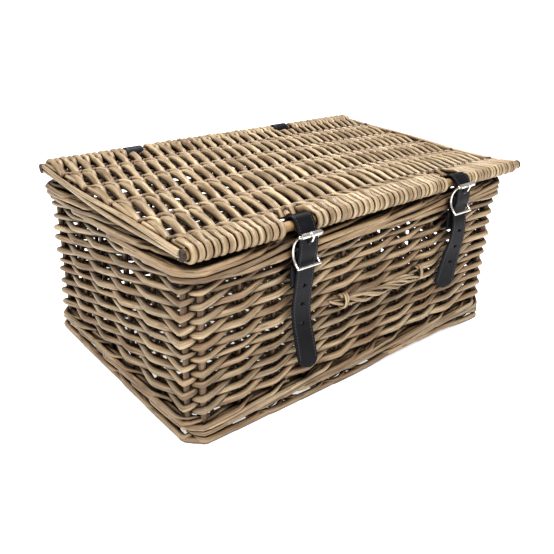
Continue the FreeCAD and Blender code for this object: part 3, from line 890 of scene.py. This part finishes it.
STITCH_SLANT = 0.08
STRAP_WIDTH = 22 * MM
STRAP_THICKNESS = 2.2 * MM
HINGE_THICKNESS = 2 * MM
BAR_RADIUS = 1.4 * MM
TAILS = {
    "left": [(-10.0, -36.0), (-8.0, -55.0), (-9.0, -73.0), (-15.5, -95.0), (-23.5, -120.0)],
    "right": [(-14.0, -29.0), (-13.5, -48.0), (-10.0, -67.0), (-6.5, -91.0), (-4.0, -112.0)],
}
TIP_TWIST = {"left": 8.0, "right": 26.0}
BEHIND_LOWER_BAR = {"left": 2.0, "right": 2.9}
HOLES_BELOW_BAR = (37, 57, 77)
HOLE_RADIUS = 1.7 * MM
UNSEWN_TIP = 6
LEATHER_STEP = 1.6 * MM


def leather():
    material, tree, shader = new_material("black_leather")
    place = object_place(tree)
    grain = add_node(tree, "ShaderNodeTexVoronoi", {"Vector": place, "Scale": 900.0}, feature="F1")
    wear = noise(tree, place, 90.0, 4.0)
    bumped(tree, shader, maths(tree, "ADD", grain.outputs["Distance"], wear), 0.25, 0.2 * MM)
    blacks = [(0.30, (0.004, 0.004, 0.005)), (0.72, (0.010, 0.010, 0.014))]
    fill(tree, shader, {
        "Base Color": colour_steps(tree, wear, blacks),
        "Roughness": colour_steps(tree, wear, [(0.25, grey(0.42)), (0.75, grey(0.60))]),
        "Specular IOR Level": 0.21,
    })
    return material


def thread():
    material, tree, shader = new_material("waxed_thread")
    twist = add_node(tree, "ShaderNodeTexWave", {"Vector": object_place(tree), "Scale": 2200.0})
    colour = colour_steps(tree, twist.outputs[0], [(0.0, (0.03, 0.03, 0.033)), (1.0, (0.08, 0.08, 0.085))])
    fill(tree, shader, {"Base Color": colour, "Roughness": 0.5})
    return material


def metal():
    material, tree, shader = new_material("nickel_plate")
    wear = noise(tree, object_place(tree), 260.0, 4.0)
    bumped(tree, shader, wear, 0.1, 0.1 * MM)
    fill(tree, shader, {
        "Base Color": colour_steps(tree, wear, [(0.3, (0.62, 0.60, 0.55)), (0.7, (0.86, 0.84, 0.78))]),
        "Roughness": colour_steps(tree, wear, [(0.3, grey(0.16)), (0.75, grey(0.34))]),
        "Metallic": 1.0,
    })
    return material


def smooth_line(knots, step, closed=False):
    """A smooth line through (y, z) knots, sampled about every step."""
    line = []
    count = len(knots)
    last = count if closed else count - 1
    for i in range(last):
        a = Vector(knots[(i - 1) % count]) if closed or i else Vector(knots[0]) * 2 - Vector(knots[1])
        b = Vector(knots[i])
        c = Vector(knots[(i + 1) % count])
        inside = closed or i + 2 < count
        d = Vector(knots[(i + 2) % count]) if inside else c * 2 - b
        parts = max(2, round((c - b).length / step))
        for n in range(parts):
            t = n / parts
            bend_in = (2 * a - 5 * b + 4 * c - d) * t * t
            bend_out = (3 * b - a - 3 * c + d) * t ** 3
            line.append(0.5 * (2 * b + (c - a) * t + bend_in + bend_out))
    if not closed:
        line.append(Vector(knots[-1]))
    return line


def normals_of(line, closed):
    """Sideways directions of a (y, z) line, to the left of its way."""
    sides = []
    count = len(line)
    for i in range(count):
        a = line[(i - 1) % count] if closed or i else line[0]
        b = line[(i + 1) % count] if closed or i < count - 1 else line[-1]
        way = (b - a).normalized()
        sides.append(Vector((-way.y, way.x)))
    return sides


def turned(place, x, line_y, run, twist):
    """Turns a place about the strap's middle line, by twist degrees at the tip and less above."""
    angle = math.radians(twist) * (1 - smooth(run / (95 * MM)))
    dx = place.x - x
    dy = place.y - line_y
    across = dx * math.cos(angle) - dy * math.sin(angle)
    return Vector((x + across, line_y - dx * math.sin(angle) + dy * math.cos(angle), place.z))


def band_mesh(name, line, x, width, thickness, finish, closed=False, twist=None):
    """A strip of leather with rounded edges along a (y, z) line, its width along X.

    A strip with a twist has a rounded tip at its start."""
    half = width / 2
    edge = 0.65 * MM
    t = thickness / 2
    section = [
        (-half, 0), (-half + 0.25 * edge, -t * 0.75), (-half + edge, -t), (-half * 0.5, -t), (half * 0.5, -t),
        (half - edge, -t), (half - 0.25 * edge, -t * 0.75), (half, 0), (half - 0.25 * edge, t * 0.75),
        (half - edge, t), (half - 2.6 * MM, t * 0.86), (half * 0.5, t), (-half * 0.5, t),
        (-half + 2.6 * MM, t * 0.86), (-half + edge, t), (-half + 0.25 * edge, t * 0.75),
    ]
    sides = normals_of(line, closed)
    run = 0.0
    places = []
    for i, (p, n) in enumerate(zip(line, sides)):
        run += (p - line[i - 1]).length if i else 0.0
        narrow = 1.0
        if twist is not None and run < half:
            narrow = max(0.08, math.sqrt(1 - (1 - run / half) ** 2))
        for across, away in section:
            q = p + n * away
            place = Vector((x + across * narrow, q.x, q.y))
            places.append(turned(place, x, p.x, run, twist or 0.0))
    size = len(section)
    rows = len(line)
    faces = []
    for i in range(rows if closed else rows - 1):
        for k in range(size):
            a = i * size + k
            b = i * size + (k + 1) % size
            j = (i + 1) % rows
            faces.append((a, b, j * size + (k + 1) % size, j * size + k))
    if not closed:
        faces.append(tuple(range(size))[::-1])
        faces.append(tuple((rows - 1) * size + k for k in range(size)))
    mesh = mesh_of(name, places, [], faces)
    mesh.materials.append(finish)
    mesh.polygons.foreach_set("use_smooth", [True] * len(mesh.polygons))
    make_outward(mesh)
    return put_in_scene(name, mesh)


def make_outward(mesh):
    """Turns the faces outwards where a mesh came out inside out."""
    volume = 0.0
    mesh.calc_loop_triangles()
    for face in mesh.loop_triangles:
        a, b, c = (mesh.vertices[i].co for i in face.vertices)
        volume += a.dot(b.cross(c))
    if volume < 0:
        mesh.flip_normals()


def stitch_tree():
    """Puts a short slanted stitch every few millimetres along drawn lines."""
    inputs = {"Spacing": "Float", "Length": "Float", "Thread": "Float", "Seed": "Int", "Finish": "Material"}
    tree, given, line = new_tree("stitching", inputs)
    values = {"Curve": line, "Length": given["Spacing"]}
    spots = add_node(tree, "GeometryNodeCurveToPoints", values, mode="LENGTH").outputs
    bead = add_node(tree, "GeometryNodeMeshUVSphere", {"Segments": 6, "Rings": 5, "Radius": 1.0})
    wander = add_node(tree, "FunctionNodeRandomValue", {"Seed": given["Seed"]}, data_type="FLOAT")
    for socket in wander.inputs:
        if socket.name in ("Min", "Max") and socket.type == "VALUE":
            socket.default_value = -STITCH_SLANT if socket.name == "Min" else STITCH_SLANT
    slant = add_node(tree, "ShaderNodeCombineXYZ", {0: wander.outputs[1]})
    tilt = add_node(tree, "FunctionNodeEulerToRotation", {0: slant.outputs[0]})
    values = {0: spots["Rotation"], 1: tilt.outputs[0]}
    aim = add_node(tree, "FunctionNodeRotateRotation", values, rotation_space="LOCAL")
    values = {0: given["Thread"], 1: given["Thread"], 2: given["Length"]}
    size = add_node(tree, "ShaderNodeCombineXYZ", values)
    values = {"Points": spots["Points"], "Instance": bead.outputs["Mesh"]}
    values.update({"Rotation": aim.outputs[0], "Scale": size.outputs[0]})
    sown = add_node(tree, "GeometryNodeInstanceOnPoints", values)
    return end_tree(tree, sown.outputs[0], given["Finish"])


STITCHING = stitch_tree()


def stitches(name, line, x, inset, lift, finish, twist=0.0, start=0.0):
    """Two rows of stitches along a strip, on the side its normals point to."""
    sides = normals_of(line, False)
    places = []
    edges = []
    for across in (inset - STRAP_WIDTH / 2, STRAP_WIDTH / 2 - inset):
        first = len(places)
        run = start
        for i, (p, n) in enumerate(zip(line, sides)):
            run += (p - line[i - 1]).length if i else 0.0
            q = p + n * lift
            places.append(turned(Vector((x + across, q.x, q.y)), x, p.x, run, twist))
        edges += [(first + i, first + i + 1) for i in range(len(line) - 1)]
    host = put_in_scene(name, mesh_of(name, places, edges, []))
    values = {"Spacing": 3.1 * MM, "Length": 1.15 * MM, "Thread": 0.36 * MM, "Seed": 7, "Finish": finish}
    settle(worked_out(host, STITCHING, values), BASKET, "black_leather")


def punch(piece, spots):
    """Cuts round holes through a strap at (x, y, z) spots, along Y."""
    for spot in spots:
        bpy.ops.mesh.primitive_cylinder_add(
            vertices=20, radius=HOLE_RADIUS, depth=12 * MM, location=spot, rotation=(math.pi / 2, 0, 0))
        cutter = bpy.context.active_object
        cut = piece.modifiers.new("hole", "BOOLEAN")
        cut.operation = "DIFFERENCE"
        cut.solver = "EXACT"
        cut.object = cutter
        graph = bpy.context.evaluated_depsgraph_get()
        mesh = bpy.data.meshes.new_from_object(piece.evaluated_get(graph), depsgraph=graph)
        piece.modifiers.remove(cut)
        piece.data = mesh
        bpy.data.objects.remove(cutter)


def arc(y, z, reach, angles):
    """The (y, z) knots at a reach from a centre; angles from +Y, in degrees."""
    turns = [math.radians(angle) for angle in angles]
    return [(y + reach * math.cos(a), z + reach * math.sin(a)) for a in turns]


def strap(side, finish, sewing):
    """The whole strap: tail, buckle, over the lid, down inside, out and round the centre bar."""
    low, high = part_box(side + "_buckle_frame")
    bar_z = (low.z + high.z) / 2
    bar_y = high.y - 1.5 * MM
    roller_y = low.y + BAR_RADIUS
    rise = (high.z - low.z) / 2 - BAR_RADIUS
    stick = middle("lid_front_stick")
    x = middle(side + "_strap").x
    border_low, border_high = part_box("front_border")
    wall_low, wall_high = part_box("front_wall_weave")
    slot_z = wall_high.z - 16 * MM
    half = STRAP_THICKNESS / 2
    knots = [(wall_low.y + dy * MM, bar_z + dz * MM) for dy, dz in TAILS[side]][::-1]
    over_fold = bar_y - 5.25 * MM
    knots += [(over_fold + BEHIND_LOWER_BAR[side] * MM, bar_z - rise)]
    knots += [(over_fold, bar_z - 3.5 * MM), (over_fold, bar_z + 4 * MM)]
    knots += [(roller_y + 4.0 * MM, bar_z + rise)]
    knots += arc(stick.y, stick.z, 7.6 * MM, (120, 80, 40, 0))
    inside = wall_high.y + 2 * MM
    knots += [(inside - 4.1 * MM, border_high.z + 4.2 * MM), (inside, border_high.z - 1 * MM)]
    knots += [(inside, slot_z + 5 * MM), (inside - 2.1 * MM, slot_z), (wall_low.y - 1 * MM, slot_z)]
    rear = border_low.y - 0.3 * MM - half
    knots += [(rear, slot_z + 7 * MM), (rear, bar_z - 3 * MM)]
    knots += arc(bar_y, bar_z, 1.65 * MM + half, (0, 60, 120, 180))
    folded = rear - STRAP_THICKNESS - 0.05 * MM
    knots += [(bar_y - 1.2 * MM, bar_z - 7 * MM), (folded, bar_z - 12 * MM), (folded, slot_z + 11 * MM)]
    line = smooth_line(knots, LEATHER_STEP)
    twist = TIP_TWIST[side]
    piece = band_mesh(side + "_leather_strap", line, x, STRAP_WIDTH, STRAP_THICKNESS, finish, twist=twist)
    spots = []
    for down in HOLES_BELOW_BAR:
        z = bar_z - down * MM
        near = min(line[: len(line) // 2], key=lambda p: abs(p.y - z) + (0.02 if p.x > bar_y else 0))
        spots.append((x, near.x, z))
    punch(piece, spots)
    settle(piece, BASKET, "black_leather", side + "_strap")
    knots = [(rear - 2.9 * MM, bar_z - 35 * MM), (rear - 2.6 * MM, bar_z - 26 * MM)]
    knots += [(folded - 0.05 * MM, bar_z - 15 * MM)]
    fold_line = smooth_line(knots, LEATHER_STEP)
    fold = band_mesh(side + "_strap_fold", fold_line, x - 6 * MM, 18 * MM, STRAP_THICKNESS, finish)
    settle(fold, BASKET, "black_leather", side + "_strap")
    start = (line[UNSEWN_TIP] - line[0]).length
    sewn = line[UNSEWN_TIP:line_end(line, stick.z)]
    stitches(side + "_strap_stitching", sewn, x, 2.4 * MM, half * 0.9, sewing, twist=twist, start=start)


def line_end(line, stick_z):
    """Index where the outside run of a strap has passed over the lid's front stick."""
    for i, p in enumerate(line):
        if i > 10 and line[i - 1].y > stick_z + 5 * MM and p.y < line[i - 1].y:
            return i
    return len(line)


def hinge_loop(side, finish, sewing):
    low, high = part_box(side + "_hinge_loop")
    stick = middle("lid_back_stick")
    x = (low.x + high.x) / 2
    half = HINGE_THICKNESS / 2
    inside = low.y + half
    outside = high.y - half
    border_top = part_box("front_border")[1].z
    foot = low.z + half
    reach = high.z - half - stick.z + 1.2 * MM
    midway = (foot + border_top) / 2
    knots = [(outside, foot + 2 * MM), (outside, midway), (outside, border_top - 1 * MM)]
    knots += arc(stick.y, stick.z, reach, (10, 55, 100, 145, 180))
    knots += [(inside, border_top - 2 * MM), (inside, midway), (inside, foot + 2 * MM)]
    knots += [(inside + 2 * MM, foot), (outside - 2 * MM, foot)]
    line = smooth_line(knots, 1.8 * MM, closed=True)
    piece = band_mesh(side + "_leather_hinge", line, x, STRAP_WIDTH, HINGE_THICKNESS, finish, closed=True)
    settle(piece, BASKET, "black_leather", side + "_hinge_loop")
    stitches(side + "_hinge_stitching", line, x, 2.6 * MM, -half * 0.9, sewing)


# --- everything together ---

place_camera()
light_the_room()
lay_floor()

wall_finish = willow(
    "washed_willow",
    [(0.27, 0.20, 0.125), (0.43, 0.35, 0.235), (0.33, 0.265, 0.185),
     (0.54, 0.44, 0.30), (0.36, 0.26, 0.165), (0.47, 0.375, 0.25)],
    (0.08, 0.052, 0.033), 0.85, 0.46, 0.6,
)
border_finish = willow(
    "border_willow",
    [(0.25, 0.18, 0.115), (0.41, 0.315, 0.20), (0.30, 0.225, 0.15),
     (0.47, 0.36, 0.225), (0.33, 0.235, 0.15)],
    (0.08, 0.052, 0.033), 0.85, 0.46, 0.6,
)
lid_finish = willow(
    "pale_willow",
    [(0.30, 0.225, 0.143), (0.52, 0.42, 0.278), (0.41, 0.325, 0.213),
     (0.585, 0.478, 0.325), (0.41, 0.315, 0.20), (0.545, 0.447, 0.303)],
    (0.11, 0.072, 0.042), 0.9, 0.40, 0.65,
)
dark_finish = willow(
    "brown_willow",
    [(0.14, 0.095, 0.062), (0.25, 0.175, 0.115), (0.19, 0.13, 0.09)],
    (0.05, 0.03, 0.02), 0.7, 0.55, 0.5,
)
bare_finish = willow(
    "peeled_stick",
    [(0.36, 0.24, 0.13), (0.40, 0.28, 0.155)],
    (0.16, 0.10, 0.055), 0.4, 0.45, 0.45,
)
end_finish = willow(
    "end_grain",
    [(0.035, 0.024, 0.017), (0.06, 0.04, 0.027)],
    (0.012, 0.008, 0.006), 0.5, 0.7, 0.5,
)
black = leather()
sewing = thread()
plate = metal()

run = Round()
randed_walls(run, wall_finish)
uprights(run, dark_finish)
bands(run, wall_finish, border_finish)
base(wall_finish)
plan = LidPlan()
lid_rods(plan, lid_finish)
lid_sticks(plan, bare_finish, dark_finish, end_finish)
lid_edges(plan, lid_finish)
handle(wall_finish)
for hand in SIDES:
    strap(hand, black, sewing)
    hinge_loop(hand, black, sewing)
    for part in ("frame", "roller", "prong"):
        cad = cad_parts["%s_buckle_%s" % (hand, part)]
        cad.data.materials.clear()
        cad.data.materials.append(plate)
